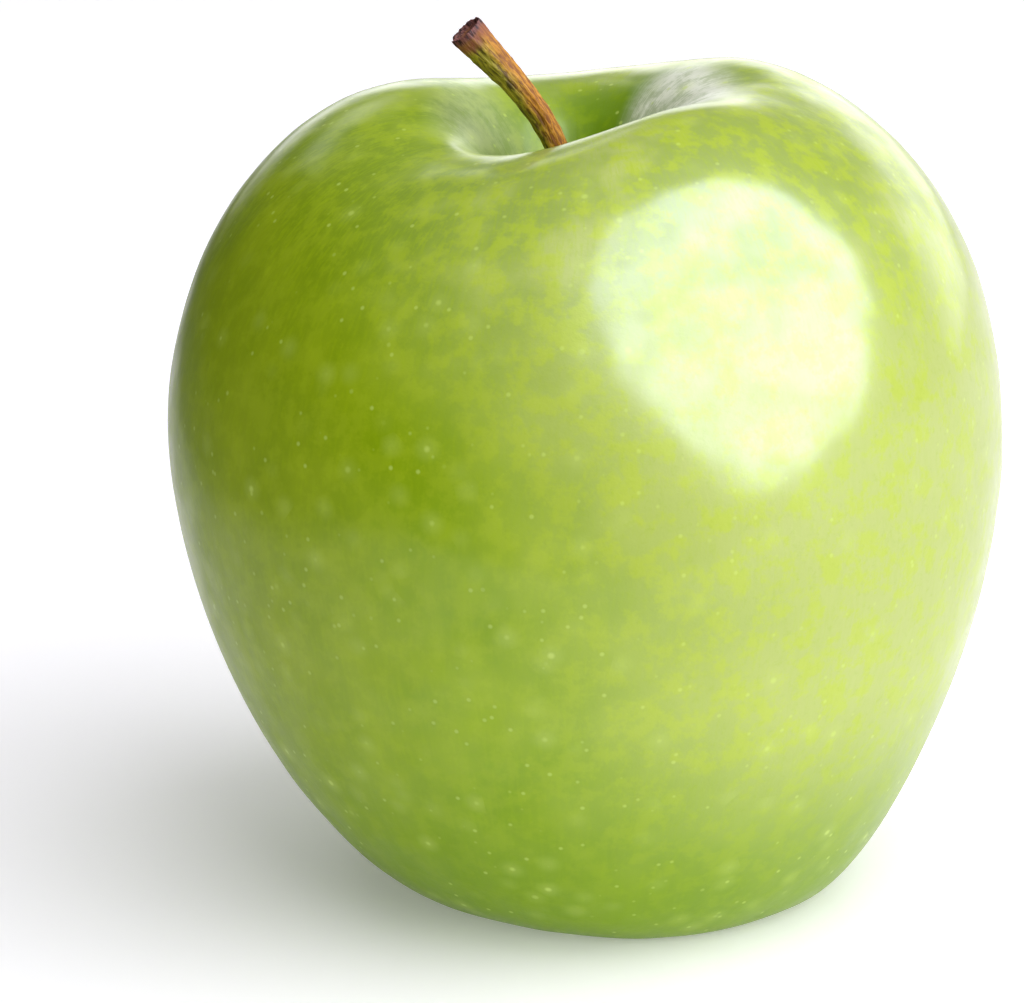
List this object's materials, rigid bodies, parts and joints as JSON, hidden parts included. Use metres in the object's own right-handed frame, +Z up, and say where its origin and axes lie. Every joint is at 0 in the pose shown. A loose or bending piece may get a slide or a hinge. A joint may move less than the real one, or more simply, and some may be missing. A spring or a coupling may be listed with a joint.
{
  "type": "green apple",
  "caption": "Whole green apple with a woody stem leaning out of the hollow in its crown and a dried calyx in its base; stands upright on small flats.",
  "frame": {"origin": "on the resting plane, under the middle of the fruit's box", "axes": "+Z up out of the crown, -Y to the front, +X to the right; the stem leans to -X"},
  "size_m": [0.08, 0.08, 0.0861],
  "materials": {
    "skin": "smooth, waxy and glossy green with small pale dots and faint paler streaks",
    "stem_bark": "dull wrinkled bark, orange-brown to olive, with a dark brown cut end",
    "dry_calyx": "dull, dry and papery brown"
  },
  "bodies": {
    "root": {"fruit": "skin", "stem": "stem_bark", "calyx": "dry_calyx"}
  },
  "joints": []
}
